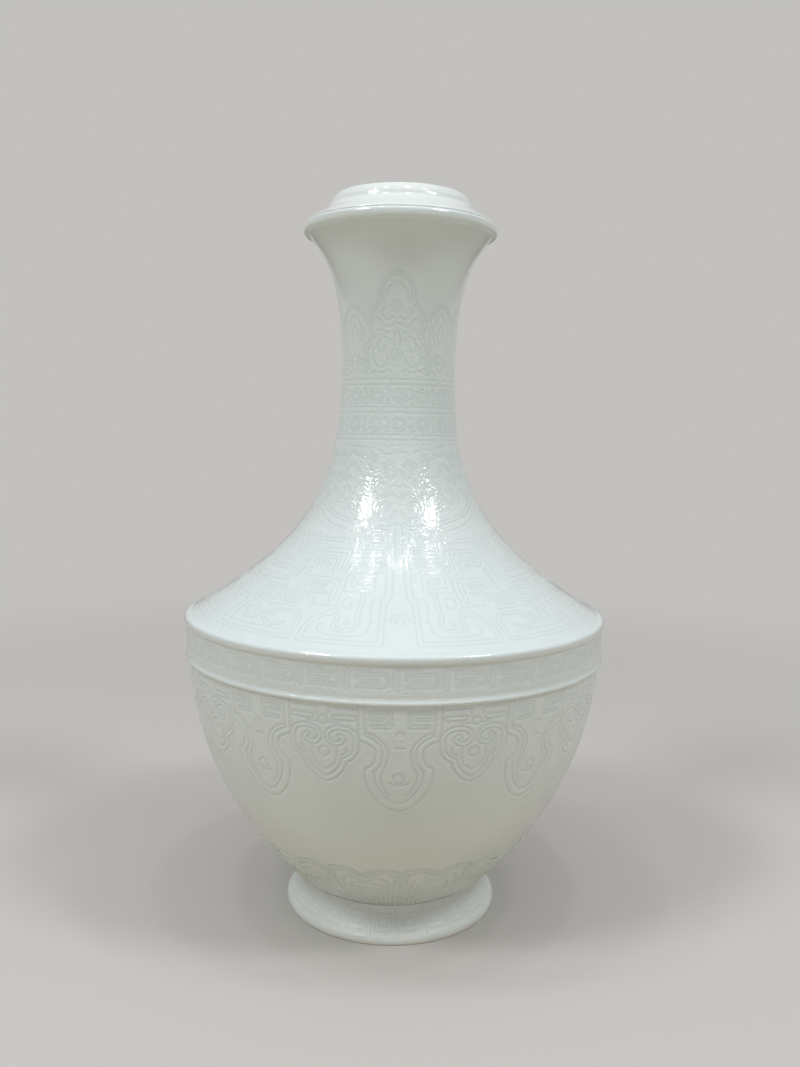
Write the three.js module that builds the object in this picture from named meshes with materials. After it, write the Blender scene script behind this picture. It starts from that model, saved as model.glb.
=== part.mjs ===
// A covered porcelain altar vase: flared foot, rounded belly, ribbed girdle, sloping
// shoulder, tall trumpet neck with a rolled lip, and a low cover with a ring grip.
// The body is thrown in sections that are luted end to end, so each section is its own
// solid and its neighbours meet on flat rings. The cover lifts off along +Z.
// Millimetres, +Z up, origin in the middle of the foot's resting plane.

import * as THREE from 'three';

// Heights of the sections, from the resting plane up.
const FOOT_HEIGHT = 12;
const BELLY_HEIGHT = 86;
const GIRDLE_HEIGHT = 16.3;
const SHOULDER_HEIGHT = 65.7;
const LOWER_NECK_HEIGHT = 24;
const NECK_FLARE_HEIGHT = 46.5;
const LIP_HEIGHT = 4;
const COVER_RISE = 6.3;
const GRIP_RISE = 3.8;

// Outer radii where the outline turns, and how far the outline steps out or in from them.
const FOOT_WAIST_RADIUS = 34.6;
const FOOT_FLARE = 5.6;
const BELLY_RADIUS = 77;
const GIRDLE_PROUD = 0.5;
const SHOULDER_SETBACK = 1.8;
const NECK_RADIUS = 21.05;
const NECK_ROOT_FLARE = 1.45;
const NECK_MOUTH_FLARE = 12.05;
const LIP_OVERHANG = 2.3;
const COVER_SLOPE_WIDTH = 7.9;

// Walls, floors and openings.
const BELLY_WALL = 5;
const SHOULDER_WALL = 4.4;
const NECK_WALL = 4;
const FLOOR_THICKNESS = 6;
const FLOOR_FILLET = 7;
const FOOT_WALL = 5.2;
const RECESS_FLARE = 4.4;
const COVER_WALL = 3.6;
const GRIP_WALL = 4.6;
const GRIP_DRAFT = 1.8;

// The rounded resting edge, the two fillets of the girdle and the cover's seat.
const FOOT_EDGE_INSET = 0.5;
const FOOT_EDGE_HEIGHT = 1.1;
const FOOT_ROLL_WIDTH = 1.8;
const FOOT_ROLL_HEIGHT = 2.4;
const RECESS_CHAMFER = 0.9;
const FILLET_HEIGHT = 3.8;
const LOWER_FILLET_PROUD = 0.45;
const UPPER_FILLET_PROUD = 0.75;
const LIP_ROLL = 1.6;
const SEAT_SETBACK = 0.8;
const COVER_SETBACK = 0.3;
const COVER_EDGE = 0.4;

// The ring under the cover that drops into the mouth.
const FLANGE_CLEARANCE = 1;
const FLANGE_WALL = 3;
const FLANGE_DEPTH = 6;

const TURN_STEPS = 48;

const FOOT_TOP = FOOT_HEIGHT;
const BELLY_TOP = FOOT_TOP + BELLY_HEIGHT;
const GIRDLE_TOP = BELLY_TOP + GIRDLE_HEIGHT;
const SHOULDER_TOP = GIRDLE_TOP + SHOULDER_HEIGHT;
const NARROWEST = SHOULDER_TOP + LOWER_NECK_HEIGHT;
const NECK_TOP = NARROWEST + NECK_FLARE_HEIGHT;
const SEAT_HEIGHT = NECK_TOP + LIP_HEIGHT;
const COVER_TOP = SEAT_HEIGHT + COVER_RISE;
const FLANGE_BOTTOM = SEAT_HEIGHT - FLANGE_DEPTH;

const FOOT_RADIUS = FOOT_WAIST_RADIUS + FOOT_FLARE;
const GIRDLE_RADIUS = BELLY_RADIUS + GIRDLE_PROUD;
const SHOULDER_RADIUS = GIRDLE_RADIUS - SHOULDER_SETBACK;
const NECK_BASE_RADIUS = NECK_RADIUS + NECK_ROOT_FLARE;
const NECK_TOP_RADIUS = NECK_RADIUS + NECK_MOUTH_FLARE;
const LIP_RADIUS = NECK_TOP_RADIUS + LIP_OVERHANG;
const SEAT_RADIUS = LIP_RADIUS - SEAT_SETBACK;
const COVER_RADIUS = SEAT_RADIUS - COVER_SETBACK;
const GRIP_RADIUS = COVER_RADIUS - COVER_SLOPE_WIDTH;

// Outlines of the thrown sections: each curve leaves its foot and reaches its head with
// handles given as shares of the section's own spread and rise.

function sweep(start, end, leave, arrive) {
  const spread = end[0] - start[0];
  const rise = end[1] - start[1];
  return new THREE.CubicBezierCurve(
    new THREE.Vector2(start[0], start[1]),
    new THREE.Vector2(start[0] + leave[0] * spread, start[1] + leave[1] * rise),
    new THREE.Vector2(end[0] - arrive[0] * spread, end[1] - arrive[1] * rise),
    new THREE.Vector2(end[0], end[1]),
  );
}

const bellyCurve = sweep(
  [FOOT_WAIST_RADIUS, FOOT_TOP], [BELLY_RADIUS, BELLY_TOP], [0.2, 0.081], [0.084, 0.59]);
const shoulderCurve = sweep(
  [SHOULDER_RADIUS, GIRDLE_TOP], [NECK_BASE_RADIUS, SHOULDER_TOP], [0.582, 0.273], [0.085, 0.472]);
const lowerNeckCurve = sweep(
  [NECK_BASE_RADIUS, SHOULDER_TOP], [NECK_RADIUS, NARROWEST], [0.75, 0.39], [0, 0.39]);
const neckFlareCurve = sweep(
  [NECK_RADIUS, NARROWEST], [NECK_TOP_RADIUS, NECK_TOP], [0, 0.724], [0.351, 0.123]);

// The curve's parameter at a height, found by halving: every section only rises.
function parameterAt(curve, height) {
  let low = 0;
  let high = 1;
  for (let step = 0; step < 40; step += 1) {
    const middle = (low + high) / 2;
    if (curve.getPoint(middle).y < height) low = middle;
    else high = middle;
  }
  return (low + high) / 2;
}

// Inner radius at a height, with the wall measured square to the outer surface.
function innerRadius(curve, height, wall) {
  const t = parameterAt(curve, height);
  return curve.getPoint(t).x - wall / Math.abs(curve.getTangent(t).y);
}

// The mouth is as wide as the neck is inside where the flange ends.
const MOUTH_RADIUS = innerRadius(neckFlareCurve, FLANGE_BOTTOM, NECK_WALL);
const FLANGE_RADIUS = MOUTH_RADIUS - FLANGE_CLEARANCE;
const FLANGE_BORE = FLANGE_RADIUS - FLANGE_WALL;

function innerWall(curve, low, high, wallLow, wallHigh, steps) {
  const points = [];
  for (let step = 0; step <= steps; step += 1) {
    const share = step / steps;
    const height = THREE.MathUtils.lerp(low, high, share);
    const wall = THREE.MathUtils.lerp(wallLow, wallHigh, share);
    points.push([innerRadius(curve, height, wall), height]);
  }
  return points;
}

function outerWall(curve, steps) {
  return curve.getPoints(steps).map((point) => [point.x, point.y]);
}

// Part of an ellipse round a centre, angles in degrees from straight out.
function roundedEdge(centre, reach, from, to, steps) {
  const points = [];
  for (let step = 0; step <= steps; step += 1) {
    const angle = THREE.MathUtils.degToRad(THREE.MathUtils.lerp(from, to, step / steps));
    points.push([centre[0] + reach[0] * Math.cos(angle), centre[1] + reach[1] * Math.sin(angle)]);
  }
  return points;
}

function bend(start, corner, end, steps) {
  const curve = new THREE.QuadraticBezierCurve(
    new THREE.Vector2(...start), new THREE.Vector2(...corner), new THREE.Vector2(...end));
  return curve.getPoints(steps).map((point) => [point.x, point.y]);
}

// Turns an outline of [radius, height] pairs. An outline that starts off the axis closes
// on itself; pairs that repeat the one before are left out.
function turned(outline) {
  const points = [];
  for (const [radius, height] of outline) {
    const last = points[points.length - 1];
    if (!last || Math.hypot(last.x - radius, last.y - height) > 1e-6) {
      points.push(new THREE.Vector2(radius, height));
    }
  }
  if (points[0].x > 0) points.push(points[0].clone());
  const geometry = new THREE.LatheGeometry(points, TURN_STEPS);
  geometry.rotateX(Math.PI / 2);
  return geometry;
}

// Flared foot: unglazed flat resting ring, rolled edge, hollow sweep up to the waist.
function footRing() {
  const recessTop = FOOT_WAIST_RADIUS - FOOT_WALL;
  const recessBottom = recessTop + RECESS_FLARE;
  const underEdge = roundedEdge(
    [FOOT_RADIUS - FOOT_EDGE_INSET, FOOT_EDGE_HEIGHT], [FOOT_EDGE_INSET, FOOT_EDGE_HEIGHT], -90, 0, 2);
  const roll = roundedEdge(
    [FOOT_RADIUS - FOOT_ROLL_WIDTH, FOOT_EDGE_HEIGHT], [FOOT_ROLL_WIDTH, FOOT_ROLL_HEIGHT], 0, 55, 3);
  const [rollRadius, rollTop] = roll[roll.length - 1];
  const sweepUp = new THREE.CubicBezierCurve(
    new THREE.Vector2(rollRadius, rollTop),
    new THREE.Vector2(rollRadius - FOOT_FLARE * 0.22, rollTop + FOOT_FLARE * 0.2),
    new THREE.Vector2(FOOT_WAIST_RADIUS, THREE.MathUtils.lerp(rollTop, FOOT_TOP, 0.5)),
    new THREE.Vector2(FOOT_WAIST_RADIUS, FOOT_TOP),
  );
  return turned([
    [recessBottom + RECESS_CHAMFER, 0],
    ...underEdge,
    ...roll,
    ...outerWall(sweepUp, 6),
    [recessTop, FOOT_TOP],
    [recessBottom, RECESS_CHAMFER],
  ]);
}

// Belly with its floor, from the foot's waist to the girdle.
function lowerBody() {
  const floor = FOOT_TOP + FLOOR_THICKNESS;
  const filletTop = floor + FLOOR_FILLET;
  const corner = innerRadius(bellyCurve, floor, BELLY_WALL);
  const wallFoot = innerRadius(bellyCurve, filletTop, BELLY_WALL);
  return turned([
    [0, FOOT_TOP],
    ...outerWall(bellyCurve, 13),
    ...innerWall(bellyCurve, filletTop, BELLY_TOP, BELLY_WALL, BELLY_WALL, 8).reverse(),
    ...bend([wallFoot, filletTop], [corner, floor], [corner - FLOOR_FILLET, floor], 3),
    [0, floor],
  ]);
}

// Girdle at the widest point, with a half-round fillet along each edge. The upper fillet
// rolls back and runs smoothly into the slope of the shoulder.
function girdle() {
  const bore = BELLY_RADIUS - BELLY_WALL;
  const upperBore = innerRadius(shoulderCurve, GIRDLE_TOP, SHOULDER_WALL);
  const lowerCrest = BELLY_TOP + FILLET_HEIGHT / 2;
  const upperCrest = GIRDLE_TOP - FILLET_HEIGHT / 2;
  const crestRadius = GIRDLE_RADIUS + UPPER_FILLET_PROUD;
  const half = FILLET_HEIGHT / 2;
  const slope = shoulderCurve.getTangent(0);
  const shoulderFoot = new THREE.Vector2(SHOULDER_RADIUS, GIRDLE_TOP);
  const rollBack = new THREE.CubicBezierCurve(
    new THREE.Vector2(crestRadius, upperCrest),
    new THREE.Vector2(crestRadius, upperCrest + half * 0.85),
    shoulderFoot.clone().addScaledVector(slope, -half * 0.35),
    shoulderFoot,
  );
  return turned([
    [bore, BELLY_TOP],
    [GIRDLE_RADIUS, BELLY_TOP],
    ...roundedEdge([GIRDLE_RADIUS, lowerCrest], [LOWER_FILLET_PROUD, half], -60, 90, 5),
    ...roundedEdge([GIRDLE_RADIUS, upperCrest], [UPPER_FILLET_PROUD, half], -90, 0, 3),
    ...outerWall(rollBack, 4),
    [upperBore, GIRDLE_TOP],
    [bore, BELLY_TOP + GIRDLE_HEIGHT / 2],
  ]);
}

// Shoulder, from the girdle in to the root of the neck.
function shoulder() {
  return turned([
    ...outerWall(shoulderCurve, 14),
    ...innerWall(shoulderCurve, GIRDLE_TOP, SHOULDER_TOP, SHOULDER_WALL, NECK_WALL, 9).reverse(),
  ]);
}

// Neck: narrowest a third of the way up, then flaring like a trumpet to the lip.
function neck() {
  return turned([
    ...outerWall(lowerNeckCurve, 4),
    ...outerWall(neckFlareCurve, 10),
    ...innerWall(neckFlareCurve, NARROWEST, NECK_TOP, NECK_WALL, NECK_WALL, 8).reverse(),
    ...innerWall(lowerNeckCurve, SHOULDER_TOP, NARROWEST, NECK_WALL, NECK_WALL, 2).reverse(),
  ]);
}

// Rolled lip with the flat seat for the cover round the mouth.
function mouthLip() {
  const crest = SEAT_HEIGHT - LIP_ROLL;
  const underRoll = [LIP_RADIUS - NECK_TOP_RADIUS, crest - NECK_TOP];
  return turned([
    ...roundedEdge([NECK_TOP_RADIUS, crest], underRoll, -90, 0, 5),
    ...roundedEdge([SEAT_RADIUS, crest], [SEAT_SETBACK, LIP_ROLL], 30, 90, 3),
    [MOUTH_RADIUS, SEAT_HEIGHT],
    [MOUTH_RADIUS, NECK_TOP],
  ]);
}

// Cover: a low cone, a little hollow in its slope, that covers the seat. Hollow beneath.
function coverDome() {
  const edgeTop = SEAT_HEIGHT + COVER_EDGE;
  const slopeRadius = THREE.MathUtils.lerp(COVER_RADIUS, GRIP_RADIUS, 0.5);
  const slopeHeight = THREE.MathUtils.lerp(edgeTop, COVER_TOP, 0.45);
  const hollowTop = COVER_TOP - COVER_WALL;
  return turned([
    [0, hollowTop],
    [FLANGE_BORE * 0.7, hollowTop],
    [FLANGE_BORE, SEAT_HEIGHT],
    [COVER_RADIUS, SEAT_HEIGHT],
    ...bend([COVER_RADIUS, edgeTop], [slopeRadius, slopeHeight], [GRIP_RADIUS, COVER_TOP], 5),
    [0, COVER_TOP],
  ]);
}

// Low ring on top of the cover, to lift it by. Its outside leans in, its top is rounded.
function coverRingGrip() {
  const crown = (GRIP_WALL - GRIP_DRAFT) / 2;
  const crownHeight = crown * 0.8;
  const centre = [GRIP_RADIUS - GRIP_DRAFT - crown, COVER_TOP + GRIP_RISE - crownHeight];
  return turned([
    [GRIP_RADIUS - GRIP_WALL, COVER_TOP],
    [GRIP_RADIUS, COVER_TOP],
    ...roundedEdge(centre, [crown, crownHeight], 0, 180, 6),
  ]);
}

// Ring under the cover that keeps it centred in the mouth.
function coverLocatingFlange() {
  return turned([
    [FLANGE_BORE, FLANGE_BOTTOM],
    [FLANGE_RADIUS, FLANGE_BOTTOM],
    [FLANGE_RADIUS, SEAT_HEIGHT],
    [FLANGE_BORE, SEAT_HEIGHT],
  ]);
}

const glaze = { color: 0xdfebec, roughness: 0.12, metalness: 0 };
const vaseGlaze = new THREE.MeshStandardMaterial(glaze);
const coverGlaze = new THREE.MeshStandardMaterial({ ...glaze, color: 0xe4eeee });

function piece(name, geometry, material) {
  const mesh = new THREE.Mesh(geometry, material);
  mesh.name = name;
  return mesh;
}

const vase = new THREE.Group();
vase.add(
  piece('foot_ring', footRing(), vaseGlaze),
  piece('lower_body', lowerBody(), vaseGlaze),
  piece('girdle', girdle(), vaseGlaze),
  piece('shoulder', shoulder(), vaseGlaze),
  piece('neck', neck(), vaseGlaze),
  piece('mouth_lip', mouthLip(), vaseGlaze),
);

const cover = new THREE.Group();
cover.add(
  piece('cover_dome', coverDome(), coverGlaze),
  piece('cover_ring_grip', coverRingGrip(), coverGlaze),
  piece('cover_locating_flange', coverLocatingFlange(), coverGlaze),
);

const coveredVase = new THREE.Group();
coveredVase.add(vase, cover);

export default coveredVase;
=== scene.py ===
from math import cos, pi, radians, sin, tau

import bmesh
import bpy
import numpy as np
from mathutils import Euler, Matrix, Vector


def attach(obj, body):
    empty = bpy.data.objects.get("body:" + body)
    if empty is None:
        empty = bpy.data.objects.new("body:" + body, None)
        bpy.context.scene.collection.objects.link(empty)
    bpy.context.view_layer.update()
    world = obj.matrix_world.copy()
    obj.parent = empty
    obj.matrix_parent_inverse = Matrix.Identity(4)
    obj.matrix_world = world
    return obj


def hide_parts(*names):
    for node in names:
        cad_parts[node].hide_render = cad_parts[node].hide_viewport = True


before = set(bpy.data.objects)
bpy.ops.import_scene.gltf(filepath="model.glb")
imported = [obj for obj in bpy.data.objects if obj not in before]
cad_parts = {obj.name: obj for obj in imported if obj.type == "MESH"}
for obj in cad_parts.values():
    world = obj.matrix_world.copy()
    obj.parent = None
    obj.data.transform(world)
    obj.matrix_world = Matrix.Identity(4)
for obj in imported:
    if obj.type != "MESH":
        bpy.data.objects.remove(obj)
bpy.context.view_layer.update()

# Camera: a wide lens close to the vase, level with the top of the shoulder and tipped
# a little down.
CAMERA_PLACE = (0, -0.350, 0.1813)
CAMERA_TILT = 6.4
CAMERA_SWING = 0.26
CAMERA_ROLL = 0.95
CAMERA_LENS = 31.38
CAMERA_SENSOR = 36

camera = bpy.data.objects.new("camera", bpy.data.cameras.new("camera"))
camera.data.lens = CAMERA_LENS
camera.data.sensor_width = CAMERA_SENSOR
aim = Euler((radians(90 - CAMERA_TILT), 0, -radians(CAMERA_SWING))).to_matrix()
aim = aim @ Matrix.Rotation(radians(CAMERA_ROLL), 3, "Z")
camera.matrix_world = Matrix.Translation(CAMERA_PLACE) @ aim.to_4x4()
bpy.context.scene.collection.objects.link(camera)
bpy.context.scene.camera = camera

# Studio: a plain pale floor that runs into a pale surround, lighter overhead than at the
# sides, one large soft lamp above and small lamps in front that give the glaze its glints.
# Each lamp has its place in metres, its watts and its width.
FLOOR_HALF_SIZE = 6
FLOOR_COLOUR = (0.60, 0.585, 0.565, 1)
FLOOR_BOUNCE_COLOUR = (0.57, 0.48, 0.36, 1)
SURROUND_COLOUR = (0.54, 0.53, 0.515, 1)
SURROUND_LOW = 0.27
SURROUND_HIGH = 0.38
FLOOR_FADE_START = 0.22
FLOOR_FADE_END = 0.75
LAMPS = {
    "overhead": ((0, -0.30, 1.70), 3.6, 1.60),
    "left_glint": ((-0.713, -0.561, 1.110), 4.9, 0.28),
    "right_glint": ((0.748, -0.469, 1.130), 4.3, 0.25),
    "left_small_glint": ((-0.536, -0.221, 1.317), 0.8, 0.09),
    "middle_left_glint": ((-0.290, -0.203, 1.400), 0.8, 0.09),
    "middle_right_glint": ((0.122, -0.198, 1.422), 0.8, 0.09),
    "right_small_glint": ((0.482, -0.234, 1.337), 0.8, 0.09),
}
LAMP_AIM = Vector((0, 0, 0.14))

floor_shape = bmesh.new()
bmesh.ops.create_grid(floor_shape, x_segments=1, y_segments=1, size=FLOOR_HALF_SIZE)
floor_mesh = bpy.data.meshes.new("floor")
floor_shape.to_mesh(floor_mesh)
floor_shape.free()
floor = bpy.data.objects.new("floor", floor_mesh)
bpy.context.scene.collection.objects.link(floor)
floor_finish = bpy.data.materials.new("floor_paper")
floor_finish.use_nodes = True
floor_nodes, floor_links = floor_finish.node_tree.nodes, floor_finish.node_tree.links
floor_paper = floor_nodes["Principled BSDF"]
floor_paper.inputs["Roughness"].default_value = 0.75
floor_far = floor_nodes.new("ShaderNodeEmission")
floor_far.inputs["Color"].default_value = SURROUND_COLOUR
floor_place = floor_nodes.new("ShaderNodeTexCoord")
floor_reach = floor_nodes.new("ShaderNodeVectorMath")
floor_reach.operation = "LENGTH"
floor_links.new(floor_place.outputs["Object"], floor_reach.inputs[0])
floor_fade = floor_nodes.new("ShaderNodeMapRange")
floor_fade.interpolation_type = "SMOOTHSTEP"
floor_fade.inputs["From Min"].default_value = FLOOR_FADE_START
floor_fade.inputs["From Max"].default_value = FLOOR_FADE_END
floor_links.new(floor_reach.outputs["Value"], floor_fade.inputs["Value"])
floor_path = floor_nodes.new("ShaderNodeLightPath")
floor_tone = floor_nodes.new("ShaderNodeMix")
floor_tone.data_type = "RGBA"
floor_tone.inputs[6].default_value = FLOOR_BOUNCE_COLOUR
floor_tone.inputs[7].default_value = FLOOR_COLOUR
floor_mirrored = floor_nodes.new("ShaderNodeMath")
floor_mirrored.operation = "MAXIMUM"
floor_links.new(floor_path.outputs["Is Camera Ray"], floor_mirrored.inputs[0])
floor_links.new(floor_path.outputs["Is Glossy Ray"], floor_mirrored.inputs[1])
floor_links.new(floor_mirrored.outputs["Value"], floor_tone.inputs["Factor"])
floor_links.new(floor_tone.outputs[2], floor_paper.inputs["Base Color"])
floor_seen = floor_nodes.new("ShaderNodeMath")
floor_seen.operation = "MULTIPLY"
floor_links.new(floor_fade.outputs["Result"], floor_seen.inputs[0])
floor_links.new(floor_path.outputs["Is Camera Ray"], floor_seen.inputs[1])
floor_mix = floor_nodes.new("ShaderNodeMixShader")
floor_links.new(floor_seen.outputs["Value"], floor_mix.inputs[0])
floor_links.new(floor_paper.outputs["BSDF"], floor_mix.inputs[1])
floor_links.new(floor_far.outputs["Emission"], floor_mix.inputs[2])
floor_links.new(
    floor_mix.outputs["Shader"], floor_nodes["Material Output"].inputs["Surface"]
)
floor_mesh.materials.append(floor_finish)

for lamp_name, (place, watts, width) in LAMPS.items():
    lamp = bpy.data.objects.new(lamp_name, bpy.data.lights.new(lamp_name, "AREA"))
    lamp.data.energy = watts
    lamp.data.size = width
    lamp.location = place
    lamp.rotation_euler = (LAMP_AIM - Vector(place)).to_track_quat("-Z", "Y").to_euler()
    bpy.context.scene.collection.objects.link(lamp)

surround = bpy.data.worlds.new("surround")
surround.use_nodes = True
surround_nodes, surround_links = surround.node_tree.nodes, surround.node_tree.links
surround_light = surround_nodes["Background"]
surround_light.inputs["Color"].default_value = (1, 1, 1, 1)
surround_place = surround_nodes.new("ShaderNodeTexCoord")
surround_height = surround_nodes.new("ShaderNodeSeparateXYZ")
surround_links.new(surround_place.outputs["Generated"], surround_height.inputs[0])
surround_level = surround_nodes.new("ShaderNodeMapRange")
surround_level.inputs["To Min"].default_value = SURROUND_LOW
surround_level.inputs["To Max"].default_value = SURROUND_HIGH
surround_links.new(surround_height.outputs["Z"], surround_level.inputs["Value"])
surround_links.new(surround_level.outputs["Result"], surround_light.inputs["Strength"])
surround_seen = surround_nodes.new("ShaderNodeBackground")
surround_seen.inputs["Color"].default_value = SURROUND_COLOUR
surround_path = surround_nodes.new("ShaderNodeLightPath")
surround_mix = surround_nodes.new("ShaderNodeMixShader")
surround_mirrored = surround_nodes.new("ShaderNodeMath")
surround_mirrored.operation = "MAXIMUM"
surround_links.new(surround_path.outputs["Is Camera Ray"], surround_mirrored.inputs[0])
surround_links.new(surround_path.outputs["Is Glossy Ray"], surround_mirrored.inputs[1])
surround_links.new(surround_mirrored.outputs["Value"], surround_mix.inputs[0])
surround_links.new(surround_light.outputs["Background"], surround_mix.inputs[1])
surround_links.new(surround_seen.outputs["Background"], surround_mix.inputs[2])
surround_links.new(
    surround_mix.outputs["Shader"], surround_nodes["World Output"].inputs["Surface"]
)
bpy.context.scene.world = surround
bpy.context.scene.view_settings.view_transform = "Standard"

# Foot ring: the flared foot that the vase stands on, thrown porcelain, hollow beneath and
# luted to the belly at its waist. Glazed all over but for the flat biscuit ring it rests
# on, and lightly cut with squares between pairs of upright lines.
MM = 0.001
FOOT_WAIST_RADIUS = 34.6
FOOT_TOP = 12
FOOT_COLUMNS = 720
RECESS_TOP_RADIUS = 29.4
RECESS_FOOT = (33.8, 0.9)
REST_INNER_RADIUS = 34.7
BISCUIT_TOP = 0.35
PATTERN_TURN = 1.5
PETAL_TURN = 4
STRAP_RISE = 0.25
GROUND_REACH = 3.5
GLAZE_COLOUR = (0.73, 0.83, 0.84, 1)
GLAZE_THIN_COLOUR = (0.75, 0.84, 0.845, 1)
GLAZE_POOL_COLOUR = (0.42, 0.55, 0.58, 1)
GLAZE_SPECKLE_COLOUR = (0.45, 0.47, 0.44, 1)
GLAZE_POOL_SHARE = 0.27
GLAZE_WAVE_HEIGHT = 0.0004
GLAZE_COAT = 0.5
GLAZE_GLOSS = (0.045, 0.085)
FOOT_GLOSS = (0.3, 0.38)
FOOT_COLOUR = (0.79, 0.855, 0.84, 1)
FOOT_THIN_COLOUR = (0.81, 0.86, 0.845, 1)
BISCUIT_COLOUR = (0.74, 0.70, 0.63, 1)
BISCUIT_DARK_COLOUR = (0.62, 0.55, 0.45, 1)
FOOT_CUT_DEPTH = 0.09


def sweep(start, end, leave, arrive):
    """A long curve of [radius, height], with handles given as shares of its spread and rise."""
    start, end = np.array(start, float), np.array(end, float)
    span = end - start
    return bezier(start, start + span * leave, end - span * arrive, end)


def bezier(start, first_handle, second_handle, end):
    t = np.linspace(0, 1, 801)[:, None]
    return (
        (1 - t) ** 3 * np.array(start, float)
        + 3 * (1 - t) ** 2 * t * np.array(first_handle, float)
        + 3 * (1 - t) * t * t * np.array(second_handle, float)
        + t**3 * np.array(end, float)
    )


def rounded_edge(centre, reach, start, end):
    """Part of an ellipse round a centre, with its angles in degrees from straight out."""
    angles = np.radians(np.linspace(start, end, 121))
    return np.column_stack(
        [centre[0] + reach[0] * np.cos(angles), centre[1] + reach[1] * np.sin(angles)]
    )


def outline(*runs):
    """Joins curves into one outline and drops the points that repeat."""
    line = np.concatenate([np.array(run, float).reshape(-1, 2) for run in runs])
    step = np.hypot(*np.diff(line, axis=0).T)
    return line[np.concatenate([[True], step > 1e-6])]


def paced(line, pitch, low=None, high=None):
    """Evenly paced points on an outline between two heights, and how far along each one is."""
    run = np.concatenate([[0], np.cumsum(np.hypot(*np.diff(line, axis=0).T))])
    first = 0 if low is None else np.interp(low, line[:, 1], run)
    last = run[-1] if high is None else np.interp(high, line[:, 1], run)
    marks = np.linspace(first, last, max(2, round((last - first) / pitch)) + 1)
    return np.column_stack([np.interp(marks, run, line[:, axis]) for axis in (0, 1)]), marks


def bore(line, low, high, wall_low, wall_high, steps):
    """The inside of a wall, from its top down, measured square to the outline."""
    direction = np.gradient(line, axis=0)
    lean = np.abs(direction[:, 1]) / np.hypot(*direction.T)
    heights = np.linspace(high, low, steps + 1)
    wall = np.interp(heights, [low, high], [wall_low, wall_high])
    radii = np.interp(heights, line[:, 1], line[:, 0])
    return np.column_stack([radii - wall / np.interp(heights, line[:, 1], lean), heights])


def glaze_finish(name, colour, thin_colour, coat, gloss_range):
    """Clear bluish glaze on white porcelain: thin and paler in patches, pooled in the cuts."""
    finish = bpy.data.materials.new(name)
    finish.use_nodes = True
    nodes, links = finish.node_tree.nodes, finish.node_tree.links
    body = nodes["Principled BSDF"]
    body.inputs["IOR"].default_value = 1.5
    body.inputs["Coat Weight"].default_value = coat
    body.inputs["Coat Roughness"].default_value = 0.03
    place = nodes.new("ShaderNodeTexCoord")

    def clouding(scale, detail, swirl=0):
        noise = nodes.new("ShaderNodeTexNoise")
        noise.inputs["Scale"].default_value = scale
        noise.inputs["Detail"].default_value = detail
        noise.inputs["Distortion"].default_value = swirl
        links.new(place.outputs["Object"], noise.inputs["Vector"])
        return noise.outputs["Fac"]

    def blended(share, low, high):
        mix = nodes.new("ShaderNodeMix")
        mix.data_type = "RGBA"
        links.new(share, mix.inputs["Factor"])
        for socket, value in ((mix.inputs[6], low), (mix.inputs[7], high)):
            if isinstance(value, tuple):
                socket.default_value = value
            else:
                links.new(value, socket)
        return mix.outputs[2]

    def spread(value, low, high, to_low, to_high):
        change = nodes.new("ShaderNodeMapRange")
        for socket, number in zip(
            ("From Min", "From Max", "To Min", "To Max"), (low, high, to_low, to_high)
        ):
            change.inputs[socket].default_value = number
        links.new(value, change.inputs["Value"])
        return change.outputs["Result"]

    patches = spread(clouding(38, 3), 0.35, 0.7, 0, 1)
    tone = blended(patches, colour, thin_colour)
    cut = nodes.new("ShaderNodeAttribute")
    cut.attribute_name = "cut"
    pooled = spread(cut.outputs["Fac"], 0.1, 1, 0, GLAZE_POOL_SHARE)
    tone = blended(pooled, tone, GLAZE_POOL_COLOUR)
    speckle = spread(clouding(1700, 1), 0.74, 0.8, 0, 0.25)
    tone = blended(speckle, tone, GLAZE_SPECKLE_COLOUR)
    links.new(tone, body.inputs["Base Color"])
    gloss = spread(clouding(260, 4), 0.3, 0.7, *gloss_range)
    links.new(gloss, body.inputs["Roughness"])
    ripple = nodes.new("ShaderNodeBump")
    ripple.inputs["Strength"].default_value = 0.2
    ripple.inputs["Distance"].default_value = GLAZE_WAVE_HEIGHT
    links.new(clouding(240, 4), ripple.inputs["Height"])
    ground = nodes.new("ShaderNodeAttribute")
    ground.attribute_name = "ground"
    tooled = nodes.new("ShaderNodeMath")
    tooled.operation = "MULTIPLY"
    links.new(clouding(520, 1, 1.6), tooled.inputs[0])
    links.new(ground.outputs["Fac"], tooled.inputs[1])
    tooling = nodes.new("ShaderNodeBump")
    tooling.inputs["Strength"].default_value = 0.5
    tooling.inputs["Distance"].default_value = GLAZE_WAVE_HEIGHT
    links.new(tooled.outputs["Value"], tooling.inputs["Height"])
    links.new(ripple.outputs["Normal"], tooling.inputs["Normal"])
    links.new(tooling.outputs["Normal"], body.inputs["Normal"])
    return finish


def smooth_stroke(*points):
    """A rounded line through the points that a cut passes."""
    points = np.array(points, float)
    ends = np.concatenate([[2 * points[0] - points[1]], points, [2 * points[-1] - points[-2]]])
    t = np.linspace(0, 1, 7)[:-1, None]
    bends = []
    for a, b, c, d in zip(ends, ends[1:], ends[2:], ends[3:]):
        bends.append(
            b + 0.5 * t * (c - a + t * (2 * a - 5 * b + 4 * c - d + t * (3 * (b - c) + d - a)))
        )
    return np.concatenate([*bends, points[-1:]])


def loop_stroke(centre, radius, radius_mm, start=0, end=360, end_radius=None):
    """A ring, or a curl that closes in, round a centre; radius_mm is the vase's radius there."""
    angles = np.radians(np.linspace(start, end, max(8, int(abs(end - start) / 18)) + 1))
    reach = np.linspace(radius, radius if end_radius is None else end_radius, len(angles))
    return np.column_stack(
        [
            centre[0] + reach * np.cos(angles) / (radius_mm * pi / 180),
            centre[1] + reach * np.sin(angles),
        ]
    )


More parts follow.
